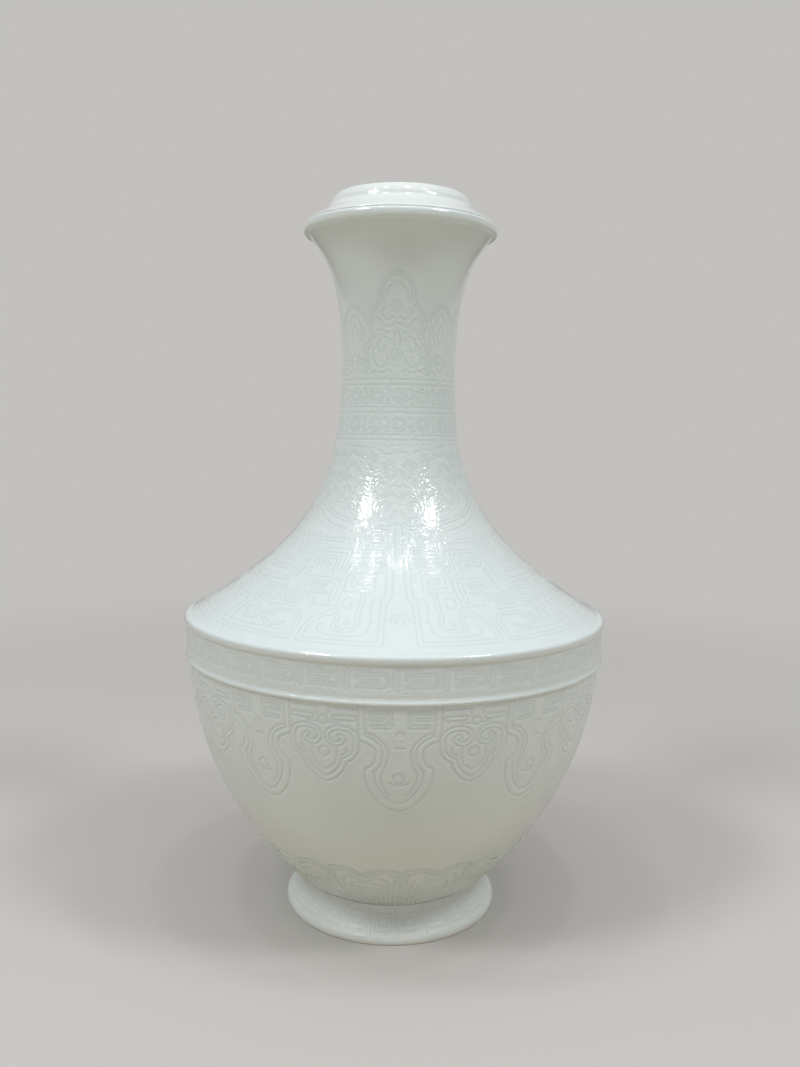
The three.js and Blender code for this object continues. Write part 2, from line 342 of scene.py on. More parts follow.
def cut_depth(strokes, straps, angles, levels, across, along, cut_width):
    """Cuts, 0 to 1, down the middle of each stroke and round the edge of each strap, the
    relief they leave, which is the cuts less the rounded back that a strap keeps, and the
    tooled ground near them."""
    cuts = np.zeros((len(levels), len(angles)))
    relief, ground = np.zeros_like(cuts), np.zeros_like(cuts)
    legs = []
    for line in strokes:
        line = np.array(line, float)
        legs.append(np.column_stack([line[:-1], line[1:], np.zeros(len(line) - 1)]))
    for width, line in straps:
        line = np.array(line, float)
        legs.append(np.column_stack([line[:-1], line[1:], np.full(len(line) - 1, width / 2)]))
    legs = np.concatenate(legs)
    low = np.minimum(legs[:, 1], legs[:, 3])
    high = np.maximum(legs[:, 1], legs[:, 3])
    reach = legs[:, 4] + GROUND_REACH
    for number, level in enumerate(levels):
        near = (low - reach / along[number] < level) & (high + reach / along[number] > level)
        if not near.any():
            continue
        x0, y0, x1, y1, half = legs[near].T
        x0, x1, x = x0 * across[number], x1 * across[number], angles * across[number]
        y0, y1 = (y0 - level) * along[number], (y1 - level) * along[number]
        dx, dy = x1 - x0, y1 - y0
        length = np.maximum(dx * dx + dy * dy, 1e-9)
        share = np.clip(((x[:, None] - x0) * dx - y0 * dy) / length, 0, 1)
        gap = np.hypot(x0 + share * dx - x[:, None], y0 + share * dy) - half
        line_gap = np.abs(gap[:, half == 0]).min(1, initial=9)
        strap_gap = np.abs(gap[:, half > 0].min(1, initial=9))
        nearest = np.minimum(line_gap, strap_gap)
        cuts[number] = np.exp(-((nearest / cut_width) ** 2))
        ground[number] = np.clip(1.6 * (1 - nearest / GROUND_REACH), 0, 1)
        hold = np.where(half > 0, np.clip(1 + gap / np.maximum(half, 0.1), 0, 1), 1)
        relief[number] = cuts[number] - STRAP_RISE * (1 - hold.min(1, initial=1) ** 2) ** 2
    return cuts, relief, ground


def throw(name, outside, rest, columns, levels=None, pattern=None):
    """Turns an outline once round the axis, and presses the cuts of a pattern into its outside.

    The pattern is (strokes, straps, period, mirrored, turn, depth, cut width), with x in
    degrees and y in levels."""
    start_turn = radians(pattern[4] if pattern else PATTERN_TURN)
    shape = bmesh.new()
    row = shape.verts.layers.int.new("row")
    points = [*outside, *rest]
    ring = []
    for number, (radius, height) in enumerate(points):
        place = Vector((radius * sin(start_turn), -radius * cos(start_turn), height)) * MM
        ring.append(shape.verts.new(place))
        ring[-1][row] = number
    edges = [
        shape.edges.new((ring[number - 1], ring[number]))
        for number in range(len(ring))
        if points[number - 1][0] > 0 or points[number][0] > 0
    ]
    sectors = 8
    bmesh.ops.spin(
        shape, geom=ring + edges, cent=(0, 0, 0), axis=(0, 0, 1), angle=tau / sectors,
        steps=columns // sectors,
    )
    turned = tau / sectors
    while turned < tau - 0.01:
        copy = bmesh.ops.duplicate(shape, geom=[*shape.verts, *shape.edges, *shape.faces])
        copied = [part for part in copy["geom"] if isinstance(part, bmesh.types.BMVert)]
        bmesh.ops.rotate(
            shape, cent=(0, 0, 0), matrix=Matrix.Rotation(turned, 3, "Z"), verts=copied
        )
        turned *= 2
    bmesh.ops.remove_doubles(shape, verts=shape.verts, dist=2e-6)
    bmesh.ops.recalc_face_normals(shape, faces=shape.faces)
    mesh = bpy.data.meshes.new(name)
    shape.to_mesh(mesh)
    shape.free()

    places = np.zeros(len(mesh.vertices) * 3)
    mesh.vertices.foreach_get("co", places)
    places = places.reshape(-1, 3)
    rows = np.zeros(len(mesh.vertices), int)
    mesh.attributes["row"].data.foreach_get("value", rows)
    turns = np.arctan2(places[:, 0], -places[:, 1]) - start_turn
    column = np.round(turns / (tau / columns)).astype(int) % columns
    outer = rows < len(outside)
    direction = np.gradient(np.array(outside), axis=0)
    direction /= np.hypot(*direction.T)[:, None]
    if pattern:
        strokes, straps, period, mirrored, _, deepest, cut_width = pattern
        angles = np.arange(columns) * 360 / columns % period
        if mirrored:
            angles = np.minimum(angles, period - angles)
        cell, back = np.unique(np.round(angles, 6), return_inverse=True)
        if not mirrored:
            strokes = [np.add(line, (s, 0)) for line in strokes for s in (-period, 0, period)]
            straps = [(w, np.add(line, (s, 0))) for w, line in straps for s in (-period, 0, period)]
        radii = np.array(outside)[:, 0]
        pace = np.hypot(*np.gradient(np.array(outside), axis=0).T) / np.abs(np.gradient(levels))
        extended = np.concatenate(
            [[2 * levels[0] - levels[1]], levels, [2 * levels[-1] - levels[-2]]]
        )
        cuts, wide, ground = cut_depth(
            strokes, straps, cell, extended, np.interp(extended, levels, radii) * pi / 180,
            np.interp(extended, levels, pace), cut_width,
        )
        wide = wide[:, back]
        grid = wide[1:-1]
        step_up = pace * (extended[2:] - extended[:-2])
        slope_up = deepest * (wide[2:] - wide[:-2]) / step_up[:, None]
        step_round = 2 * radii * tau / columns
        slope_round = deepest * (np.roll(grid, -1, 1) - np.roll(grid, 1, 1)) / step_round[:, None]

    ahead = turns + start_turn
    out = np.column_stack([np.sin(ahead), -np.cos(ahead), np.zeros(len(places))])
    onward = np.column_stack([np.cos(ahead), np.sin(ahead), np.zeros(len(places))])
    upward = np.array([0, 0, 1.0])
    at = (np.where(outer, rows, 0), column)
    run = direction[at[0]]
    normal = out * run[:, 1:] - upward * run[:, :1]
    if pattern:
        places -= normal * (grid[at] * outer * deepest * MM)[:, None]
        mesh.vertices.foreach_set("co", places.ravel())
        for name_of_share, share in (("cut", cuts), ("ground", ground)):
            values = (share[1:-1][:, back][at] * outer).astype(np.float32)
            mesh.attributes.new(name_of_share, "FLOAT", "POINT").data.foreach_set("value", values)
        normal += (out * run[:, :1] + upward * run[:, 1:]) * slope_up[at][:, None]
        normal += onward * slope_round[at][:, None]
        normal /= np.linalg.norm(normal, axis=1)[:, None]
    corners = np.zeros(len(mesh.loops), int)
    mesh.loops.foreach_get("vertex_index", corners)
    sizes = np.zeros(len(mesh.polygons), int)
    mesh.polygons.foreach_get("loop_total", sizes)
    starts = np.concatenate([[0], np.cumsum(sizes)[:-1]])
    outer_face = np.minimum.reduceat(outer[corners], starts)
    normals = normal[corners] * np.repeat(outer_face, sizes)[:, None]
    mesh.set_sharp_from_angle(angle=radians(35))
    mesh.normals_split_custom_set(normals.tolist())
    mesh.attributes.remove(mesh.attributes["row"])
    piece = bpy.data.objects.new(name, mesh)
    bpy.context.scene.collection.objects.link(piece)
    return piece


vase_glaze = glaze_finish(
    "bluish_white_glaze", GLAZE_COLOUR, GLAZE_THIN_COLOUR, GLAZE_COAT, GLAZE_GLOSS
)
foot_glaze = glaze_finish("thin_foot_glaze", FOOT_COLOUR, FOOT_THIN_COLOUR, 0, FOOT_GLOSS)
biscuit = bpy.data.materials.new("biscuit_porcelain")
biscuit.use_nodes = True
biscuit_nodes, biscuit_links = biscuit.node_tree.nodes, biscuit.node_tree.links
biscuit_body = biscuit_nodes["Principled BSDF"]
biscuit_body.inputs["Roughness"].default_value = 0.85
biscuit_grain = biscuit_nodes.new("ShaderNodeTexNoise")
biscuit_grain.inputs["Scale"].default_value = 1400
biscuit_place = biscuit_nodes.new("ShaderNodeTexCoord")
biscuit_links.new(biscuit_place.outputs["Object"], biscuit_grain.inputs["Vector"])
biscuit_tone = biscuit_nodes.new("ShaderNodeMix")
biscuit_tone.data_type = "RGBA"
biscuit_tone.inputs[6].default_value = BISCUIT_COLOUR
biscuit_tone.inputs[7].default_value = BISCUIT_DARK_COLOUR
biscuit_links.new(biscuit_grain.outputs["Fac"], biscuit_tone.inputs["Factor"])
biscuit_links.new(biscuit_tone.outputs[2], biscuit_body.inputs["Base Color"])
biscuit_bump = biscuit_nodes.new("ShaderNodeBump")
biscuit_bump.inputs["Distance"].default_value = 0.0002
biscuit_links.new(biscuit_grain.outputs["Fac"], biscuit_bump.inputs["Height"])
biscuit_links.new(biscuit_bump.outputs["Normal"], biscuit_body.inputs["Normal"])

foot_roll = rounded_edge((38.4, 1.1), (1.8, 2.4), 0, 55)
foot_line = outline(
    rounded_edge((39.7, 1.1), (0.5, 1.1), -90, 0),
    foot_roll,
    bezier(
        foot_roll[-1], foot_roll[-1] + (-1.232, 1.12),
        (FOOT_WAIST_RADIUS, (foot_roll[-1][1] + FOOT_TOP) / 2), (FOOT_WAIST_RADIUS, FOOT_TOP),
    ),
)
foot_outside, _ = paced(foot_line, 0.3)
foot_strokes = [
    [(0.9, 2.9), (0.9, 10.6)],
    [(3.0, 7.5), (3.0, 9.3), (7.5, 9.3)],
    [(3.0, 7.5), (3.0, 4.1), (7.5, 4.1)],
    [(5.0, 5.6), (5.0, 7.8), (7.5, 7.8)],
    [(5.0, 5.6), (7.5, 5.6)],
]
foot = throw(
    "foot_ring_glazed", foot_outside,
    [(RECESS_TOP_RADIUS, FOOT_TOP), RECESS_FOOT, (REST_INNER_RADIUS, 0)], FOOT_COLUMNS,
    foot_outside[:, 1], (foot_strokes, [], 15, True, PETAL_TURN, FOOT_CUT_DEPTH, 0.34),
)
foot.data.materials.append(foot_glaze)
foot.data.materials.append(biscuit)
for face in foot.data.polygons:
    if face.center.z < BISCUIT_TOP * MM and face.normal.z < -0.7:
        face.material_index = 1
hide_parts("foot_ring")
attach(foot, "vase")

# Belly: the lower half of the body, thrown porcelain up to its widest point and luted into
# the girdle. Carved with lobed petals at the foot and two sizes of hanging lappets under
# the girdle, with a plain wall between, then glazed.
BELLY_TOP = 98
BELLY_WALL = 5
FLOOR_LEVEL = 18
FILLET_TOP = 25
PETAL_ZONE_TOP = 38
WAIST_TOP = 13.8
PLAIN_ZONE_TOP = 60
LAPPET_SPLIT = 79
LAPPET_BASE = 52
PETAL_DEPTH = 0.4
PETALS = 13
PETAL_COLUMNS = 728
LAPPET_COLUMNS = 1200
LAPPET_DEPTH = 0.2

belly_line = sweep((FOOT_WAIST_RADIUS, FOOT_TOP), (77, BELLY_TOP), (0.2, 0.081), (0.084, 0.59))
petal_strokes = [
    smooth_stroke((0.5, 25), (0.5, 28), (1.1, 30.1), (2.9, 31.4), (6.4, 31.8), (9.8, 31.1),
                  (12.4, 29.5), (13.85, 28.3)),
    smooth_stroke((2.52, 22.6), (2.6, 26), (3.7, 28.3), (6.4, 29.2), (9.6, 28.3), (12, 26.8),
                  (13.85, 25.9)),
    smooth_stroke((5.04, 20.8), (5.1, 23), (6.2, 25.2), (8.4, 25.8), (10.8, 24.6), (12.4, 23.6),
                  (13.85, 23.2)),
    smooth_stroke((7.4, 18.4), (7.6, 19.8), (8.4, 21.2), (10, 21.9), (13.85, 22)),
]
petal_straps = [
    (1.3, [(1.26, -2), (1.26, 24)]),
    (1.3, [(3.78, -2), (3.78, 20.5)]),
    (1.3, [(6.29, -2), (6.29, 19)]),
    (1.3, [(8.81, -2), (8.81, 17.6)]),
    (1.3, [(11.33, -2), (11.33, 18.4)]),
    (1.3, [(13.85, -2), (13.85, 18.2)]),
    (1.5, smooth_stroke((1.3, 27.4), (1.8, 29.4), (3.6, 30.5), (6.4, 30.8), (9.6, 30),
                        (12.2, 28.5), (13.85, 27.4))),
]
wide_lappet_straps = [
    (2.0, [(8.9, 47.4), (8.9, 38.2)]),
    (2.1, smooth_stroke((8.9, 37.2), (6.7, 35.9), (5.1, 33.9), (4.8, 31), (5.5, 28), (6.7, 26.4),
                        (7.2, 25.6))),
    (2.9, smooth_stroke((7.2, 25.6), (6.9, 21.8), (5.6, 17.8), (3.8, 14.8), (1.8, 12.9),
                        (0, 12.1))),
    (1.0, [(7.0, 45.6), (2.2, 45.6), (2.2, 41.1), (6.4, 41.1)]),
    (0.9, [(4.0, 43.5), (6.9, 43.5)]),
]
wide_lappet_strokes = [
    loop_stroke((0, 23.2), 1.75, 75),
    smooth_stroke((0, 20.6), (1.4, 20.9), (2.5, 21.7)),
    smooth_stroke((8.1, 38.8), (6.4, 38.4), (4.3, 36.4), (3.1, 34), (2.7, 31.6), (3.2, 28.1),
                  (4.2, 25), (4.2, 22.2), (3.4, 19.1), (2.2, 17)),
    [(0, 34), (1.1, 34)],
    smooth_stroke((0, 39.4), (0.8, 38.8), (0.6, 38)),
]
narrow_lappet_straps = [
    (1.6, smooth_stroke((10.1, 36.4), (10.2, 33), (11.2, 30.6), (13.2, 28.9))),
    (1.9, smooth_stroke((13.2, 28.9), (14, 26.2), (15.2, 24.2), (16.7, 22.7), (18, 22))),
    (1.4, smooth_stroke((10.2, 36.8), (11, 38.8), (12.8, 39.9), (15.1, 39.8), (16.7, 38.4),
                        (17, 36.3), (15.9, 34.8), (14.2, 34.8), (13.2, 36.1), (14.1, 37.3))),
    (1.5, [(10.7, 43.3), (15.2, 43.3)]),
]
narrow_lappet_strokes = [
    [(10.4, 46.4), (16.6, 46.4), (16.6, 44.2)],
    [(16.6, 41.6), (14, 41.6)],
    loop_stroke((18, 31.8), 1.7, 75.5),
    loop_stroke((18, 42.3), 1.4, 77),
    smooth_stroke((15, 33), (14.9, 30.4), (15.8, 27.4), (18, 25.4)),
    smooth_stroke((12.4, 33.6), (12.6, 31.8), (13.8, 30.8)),
]
lappet_pattern = (
    wide_lappet_strokes + narrow_lappet_strokes, wide_lappet_straps + narrow_lappet_straps,
    36, True, PATTERN_TURN + 0.2, LAPPET_DEPTH, 0.36,
)
lappet_start = paced(belly_line, 0.4, None, LAPPET_BASE)[1][-1]
floor_corner = bore(belly_line, FLOOR_LEVEL, FILLET_TOP, BELLY_WALL, BELLY_WALL, 1)
floor_fillet = bezier(
    floor_corner[0], floor_corner[0] * (1 / 3, 1 / 3) + floor_corner[1] * (2 / 3, 2 / 3),
    floor_corner[1] - (7 / 3, 0), floor_corner[1] - (7, 0),
)[::160]

waist_end = np.argmin(np.abs(belly_line[:, 1] - WAIST_TOP))
waist_lean = belly_line[waist_end + 1] - belly_line[waist_end]
waist_lean /= np.hypot(*waist_lean)
waist_line = outline(
    bezier(
        belly_line[0], belly_line[0] + (0, 0.9), belly_line[waist_end] - waist_lean * 1.1,
        belly_line[waist_end],
    ),
    belly_line[waist_end:],
)
petal_outside, petal_marks = paced(waist_line, 0.36, FOOT_TOP, PETAL_ZONE_TOP)
petals = throw(
    "belly_petals", petal_outside,
    [*bore(belly_line, FILLET_TOP, PETAL_ZONE_TOP, BELLY_WALL, BELLY_WALL, 4), *floor_fillet[1:],
     (0, FLOOR_LEVEL), (0, FOOT_TOP)],
    PETAL_COLUMNS, petal_marks,
    (petal_strokes, petal_straps, 360 / PETALS, True, PETAL_TURN, PETAL_DEPTH, 0.42),
)
plain_outside, _ = paced(belly_line, 0.6, PETAL_ZONE_TOP, PLAIN_ZONE_TOP)
plain_wall = throw(
    "belly_plain_wall", plain_outside,
    bore(belly_line, PETAL_ZONE_TOP, PLAIN_ZONE_TOP, BELLY_WALL, BELLY_WALL, 4), PETAL_COLUMNS,
)
lappet_zones = []
for zone_name, low, high in (
    ("belly_lappet_tips", PLAIN_ZONE_TOP, LAPPET_SPLIT),
    ("belly_lappet_heads", LAPPET_SPLIT, BELLY_TOP),
):
    zone_outside, zone_marks = paced(belly_line, 0.37, low, high)
    lappet_zones.append(throw(
        zone_name, zone_outside, bore(belly_line, low, high, BELLY_WALL, BELLY_WALL, 4),
        LAPPET_COLUMNS, zone_marks - lappet_start, lappet_pattern,
    ))
for piece in (petals, plain_wall, *lappet_zones):
    piece.data.materials.append(vase_glaze)
    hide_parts("lower_body")
    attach(piece, "vase")

# Girdle: the band that hides the seam between the two thrown halves at the widest point,
# porcelain, with a half-round fillet along each edge, a little uneven from the hand. The
# flat between is cut with squared scrolls between upright bars.
GIRDLE_TOP = 114.3
GIRDLE_RADIUS = 77.5
GIRDLE_BORE = 72
SHOULDER_FOOT = (75.7, GIRDLE_TOP)
SHOULDER_TOP = 180
GIRDLE_DEPTH = 0.1
GIRDLE_COLUMNS = 1200
SHOULDER_WALLS = (4.4, 4)
LOWER_FILLET_TOP = 100.4
UPPER_FILLET_FOOT = 111
FILLET_UNEVENNESS = 0.9

shoulder_line = sweep(SHOULDER_FOOT, (22.5, SHOULDER_TOP), (0.582, 0.273), (0.085, 0.472))
shoulder_lean = (shoulder_line[1] - shoulder_line[0]) / np.linalg.norm(
    shoulder_line[1] - shoulder_line[0]
)
lower_fillet = rounded_edge((77.1, BELLY_TOP + 0.9), (0.9, 0.9), -90, 50)
girdle_line = outline(
    lower_fillet,
    bezier(lower_fillet[-1], (77.5, 99.75), (77.48, 100.3), (GIRDLE_RADIUS, 101.2)),
    rounded_edge((GIRDLE_RADIUS, 112.4), (0.75, 1.9), -90, 0),
    bezier((78.25, 112.4), (78.25, 114.015), SHOULDER_FOOT - shoulder_lean * 0.665, SHOULDER_FOOT),
)
girdle_outside, _ = paced(girdle_line, 0.34)
girdle_straps = [
    (1.2, [(0, 103.3), (0, 109)]),
    (0.9, [(2.2, 106.6), (2.2, 107.9), (8.4, 107.9), (9.2, 107.2), (9.2, 104.6), (8.2, 104.1),
           (2.2, 104.1)]),
]
girdle_strokes = [
    [(3.4, 106.3), (7.2, 106.3), (7.2, 105.3), (3, 105.3)],
    [(10.2, 108.8), (10.2, 103.6)],
    [(1.2, 109), (5.4, 109.2)],
]
girdle = throw(
    "girdle_band", girdle_outside,
    [bore(shoulder_line, GIRDLE_TOP, SHOULDER_TOP, *SHOULDER_WALLS, 8)[-1], (GIRDLE_BORE, 106.15),
     (GIRDLE_BORE, BELLY_TOP)],
    GIRDLE_COLUMNS, girdle_outside[:, 1],
    (girdle_strokes, girdle_straps, 11.25, False, PATTERN_TURN + 10.6, GIRDLE_DEPTH, 0.32),
)
girdle_ground = girdle.data.attributes["ground"].data
for vertex in girdle.data.vertices:
    height = vertex.co.z / MM
    if height > UPPER_FILLET_FOOT or height < LOWER_FILLET_TOP:
        girdle_ground[vertex.index].value = FILLET_UNEVENNESS
girdle.data.materials.append(vase_glaze)
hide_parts("girdle")
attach(girdle, "vase")

# Shoulder: the upper half of the body, thrown porcelain, luted on the girdle and sloping in
# to the root of the neck. Carved all over with six mirrored fields of squared straps,
# hooks and frets, and with flowing cloud scrolls higher up.
PANEL_ZONE_TOP = 128.4
FRET_ZONE_TOP = 146.6
CLOUD_BASE = 143

panel_straps = [
    (1.8, [(5, 22.4), (5, 3.7), (26, 3.7), (26.4, 9.6), (25.6, 12.2), (23.4, 14.9), (21.2, 16.7),
           (19.4, 17.7)]),
    (2.2, [(5, 22.4), (3.5, 24.6), (3.5, 54)]),
    (1.4, [(12, 25.6), (12.4, 15.6)]),
    (1.4, smooth_stroke((12.4, 15.6), (11.8, 13), (12.1, 10.8), (13.6, 9.3), (16.2, 9),
                        (18, 10.2), (18.5, 12), (18.1, 14), (19.2, 15.6), (21.2, 15.9),
                        (23, 15.1))),
    (1.5, [(29.4, 11.4), (29.4, 3.8), (57.6, 3.8), (57.6, 16)]),
    (1.3, smooth_stroke((29.4, 11.4), (30.3, 13.8), (32.2, 14.9), (35, 15), (38.4, 15),
                        (40.6, 13.6))),
    (1.2, smooth_stroke((33.6, 9.6), (37, 8.3), (40.6, 9.4), (42, 11.4), (41, 13), (39.2, 12.2))),
    (1.2, smooth_stroke((43.4, 13.2), (44.4, 10.6), (47.4, 9.4), (50.4, 10.6), (50.8, 13.4),
                        (48.8, 15.2), (46.8, 14.2), (47.2, 12.4))),
    (1.3, [(53.8, 8.2), (54.4, 11.4), (53.4, 15.6), (51.2, 18)]),
    (1.8, [(23.4, 29.4), (22.9, 21.8)]),
    (1.2, [(26.4, 29.3), (33.6, 29.3), (33.6, 27.4), (27.6, 27.4)]),
    (1.2, [(26, 25), (31.4, 25), (31.4, 22)]),
    (1.5, [(23.6, 34), (23.6, 43.1), (37.6, 43.1), (39.2, 41.6), (39.2, 38.6), (37.2, 37.2),
           (34.6, 37.4)]),
    (1.2, [(27.2, 34.6), (27.2, 40.1), (35.4, 40.1), (35.4, 39), (31, 37)]),
    (1.3, [(6.6, 38.4), (20.4, 38.4), (20.4, 32.8)]),
    (1.2, [(6.6, 53), (19, 53), (19, 44.8), (6.8, 44.8)]),
    (2.0, [(47.3, 48.6), (47.3, 28.8), (58.6, 28.8)]),
    (1.4, [(43.2, 30.6), (43.2, 47.4), (24, 47.4)]),
    (1.5, [(51.8, 47.6), (51.8, 33.6), (60, 33.6)]),
    (1.3, [(56, 47.6), (56, 37.4), (60, 37.4)]),
    (1.2, [(34, 24.4), (34, 19.6), (41.2, 19.6), (41.2, 24), (36.6, 24), (36.6, 21.8), (39, 21.8)]),
    (1.4, [(44.6, 25.4), (44.6, 19.6), (55, 19.6), (55, 25.2), (48, 25.2), (48, 22.4),
           (51.6, 22.4)]),
    (1.4, [(58.8, 19), (58.8, 26.4)]),
    (1.3, [(39, 26.6), (39, 34.6)]),
]
panel_strokes = [
    smooth_stroke((0.4, 16.4), (1.9, 16.5), (2.4, 15), (3, 14)),
    smooth_stroke((0.6, 14.6), (1.4, 13.2), (0.8, 12.6)),
    [(12.9, 31.1), (10.9, 31.1), (10.7, 29.7), (15.6, 29.9), (15.8, 32.4), (8.9, 32.6), (8.4, 27)],
    [(10.2, 27.9), (17.5, 28.1), (18.2, 34.4), (6.2, 34.6)],
    [(10, 26.1), (19.6, 26.1), (20.2, 31)],
    [(36, 26.8), (36, 31.5), (20.9, 31.5)],
    [(20.4, 30), (20.4, 19.5), (28.8, 19.5), (28.8, 23.2)],
    smooth_stroke((8.4, 13.2), (8.8, 9), (11, 6.9), (15.6, 6.5), (20.6, 6.9), (22.6, 9),
                  (22.2, 11.6)),
    smooth_stroke((14.6, 23.6), (17.6, 23.2), (18.6, 20.8), (17, 18.9), (15.2, 19.6),
                  (15.4, 21.4)),
    smooth_stroke((8, 23.8), (8.9, 21.4), (8.7, 17.6), (7.8, 13)),
    loop_stroke((14.9, 12.3), 0.9, 66),
    [(32, 6.7), (54.6, 6.7)],
    smooth_stroke((42.6, 16.6), (46, 17.6), (49, 17.4)),
    [(32.2, 17.4), (42.2, 17.4)],
    [(6.2, 40.9), (20.8, 40.9)],
    [(6.4, 42.9), (18.8, 42.9)],
    [(8.6, 46.6), (16.6, 46.6), (16.6, 51.4), (8.6, 51.4), (8.6, 47.8)],
    [(11, 48.4), (14.4, 48.4), (14.4, 49.8), (11, 49.8)],
]
cloud_shift = paced(shoulder_line, 0.4, None, CLOUD_BASE)[1][-1]
cloud_straps = [
    (1.3, smooth_stroke((24.5, 7.3), (32, 8.4), (40, 9.6), (48, 11.2), (54, 13), (60, 15.2))),
    (1.0, smooth_stroke((2.2, 12), (4.6, 9.6), (9, 9), (12.6, 10.8), (13, 13.8), (10, 15.6),
                        (7, 14.6), (7.4, 12.6))),
    (1.0, smooth_stroke((1.6, 17.4), (5, 19), (9.6, 18), (14, 17.4), (18, 19.4), (18.6, 22.6),
                        (15.4, 24.2), (12.4, 22.8), (13.2, 20.8))),
    (1.0, smooth_stroke((20.6, 9.6), (19.6, 13), (21.6, 16.6), (26, 17.6), (29.6, 15.6),
                        (29, 12.8), (26, 12.4))),
    (1.0, smooth_stroke((22.4, 21.4), (27, 22.6), (31.6, 20.4), (34, 17), (38.4, 15.2),
                        (42.6, 16.6), (43, 19.8), (39.8, 21), (37.8, 19.4))),
    (1.0, smooth_stroke((46, 15.2), (49, 18.6), (54, 19.8), (58, 18), (60, 17.2))),
    (0.9, smooth_stroke((2, 27), (5, 24.4), (9, 25.6), (10, 28.8), (6.8, 30.4), (4.4, 29))),
    (0.9, smooth_stroke((12, 29.6), (16, 27.2), (21, 27.4), (24.6, 29.8), (23.6, 32.6),
                        (20.2, 32.4), (20, 30.4))),
    (0.9, smooth_stroke((27, 25), (31.6, 25.4), (35.4, 28), (39.6, 29.6), (44.4, 28), (46, 24.8),
                        (43, 23.4), (40.6, 24.8))),
    (0.9, smooth_stroke((48, 23.4), (52, 25.6), (56, 24.6), (60, 25.4))),
    (0.9, smooth_stroke((29, 31.6), (33, 33), (38, 32.8), (42, 34), (47, 32.4), (50.6, 29.4),
                        (55, 29.4), (57, 32), (54, 33.6), (51.6, 32.4))),
]
cloud_strokes = [
    smooth_stroke((27, 4.4), (34, 5.2), (42, 6.4), (50, 8.4), (60, 11.8)),
    smooth_stroke((0, 7.6), (4, 7), (9, 6.6), (15, 7), (20, 6.4)),
    smooth_stroke((0, 21.4), (3.6, 22), (7, 21.2)),
    smooth_stroke((15.4, 12), (16.8, 14.4), (15.6, 16)),
    smooth_stroke((32, 12.4), (35, 13.2), (37.4, 12.2)),
    smooth_stroke((19.6, 25.2), (22, 24.6), (24.4, 25.6)),
    smooth_stroke((47, 21.4), (50.4, 22.4), (53.6, 22)),
    smooth_stroke((12.4, 33.4), (15, 34.4), (18, 34.6)),
    smooth_stroke((0, 33.6), (4, 34), (9, 33)),
    smooth_stroke((25.4, 34.6), (30, 35.6), (36, 35.8), (44, 36)),
    [(0, 38.35), (60, 38.35)],
    [(0, 40), (60, 40)],
]
shoulder_strokes = panel_strokes + [line + (0, cloud_shift) for line in map(np.array, cloud_strokes)]
shoulder_straps = panel_straps + [(width, line + (0, cloud_shift)) for width, line in cloud_straps]
for zone_name, low, high, columns, pitch, depth in (
    ("shoulder_panels", GIRDLE_TOP, PANEL_ZONE_TOP, 1080, 0.36, 0.09),
    ("shoulder_frets", PANEL_ZONE_TOP, FRET_ZONE_TOP, 840, 0.34, 0.085),
    ("shoulder_clouds", FRET_ZONE_TOP, SHOULDER_TOP, 600, 0.32, 0.07),
):
    zone_outside, zone_marks = paced(shoulder_line, pitch, low, high)
    wall_low, wall_high = np.interp([low, high], [GIRDLE_TOP, SHOULDER_TOP], SHOULDER_WALLS)
    zone = throw(
        zone_name, zone_outside, bore(shoulder_line, low, high, wall_low, wall_high, 5), columns,
        zone_marks, (shoulder_strokes, shoulder_straps, 120, True, PATTERN_TURN, depth, 0.32),
    )
    zone.data.materials.append(vase_glaze)
    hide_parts("shoulder")
    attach(zone, "vase")

# Neck: the tall trumpet neck, thrown porcelain, luted on the shoulder. Carved with two
# rows of roundels between double lines, and above them a collar of upright leaves, tall
# ones in front of low ones.
NARROWEST = 204
NECK_TOP = 250.5
NECK_WALL = 4
NECK_COLUMNS = 480
ROUNDEL_DEPTH = 0.07
LEAF_BASE = 199.6
LEAF_TURN = -2.1
LEAF_DEPTH = 0.075

neck_line = outline(
    sweep((22.5, SHOULDER_TOP), (21.05, NARROWEST), (0.75, 0.39), (0, 0.39)),
    sweep((21.05, NARROWEST), (33.1, NECK_TOP), (0, 0.724), (0.351, 0.123)),
)
roundel_strokes = [
    loop_stroke((0, 192.6), 2.6, 21.3),
    loop_stroke((0, 192.6), 1.5, 21.3),
    loop_stroke((0, 182.7), 2.4, 22.2),
    loop_stroke((0, 182.7), 1.4, 22.2),
    smooth_stroke((8.6, 194.6), (10.4, 195.3), (12.4, 194.2), (12.6, 192.2), (11, 191.2),
                  (9.6, 192)),
    smooth_stroke((8.8, 184.6), (10.6, 185.2), (12.4, 184.2), (12.6, 182.4), (11, 181.4),
                  (9.6, 182.2)),
    smooth_stroke((14, 190.4), (12.2, 189.9), (9.8, 190)),
    smooth_stroke((14, 180.6), (12.2, 180.2), (9.8, 180.3)),
]
band_strokes = [[(-30, h), (60, h)] for h in (186.9, 188.9, 196.7, 198.6)]
leaf_straps = [
    (1.2, smooth_stroke((0, 234.7), (5, 233.8), (10, 231.9), (13.2, 229.4), (14.9, 226.8),
                        (15.6, 224.6))),
    (1.2, smooth_stroke((15.6, 224.6), (20, 223.2), (23.4, 221.4), (25.6, 219.2), (26.2, 216.8),
                        (24.6, 214.8), (21.6, 213.6))),
    (1.2, smooth_stroke((21.6, 213.6), (25.4, 212), (28.8, 209.8), (31.4, 206.8), (32.2, 203.6),
                        (31.4, 200.6))),
    (1.0, smooth_stroke((45, 224.3), (41.6, 223.8), (37, 222.5), (33, 220.8), (29.6, 218.8))),
]
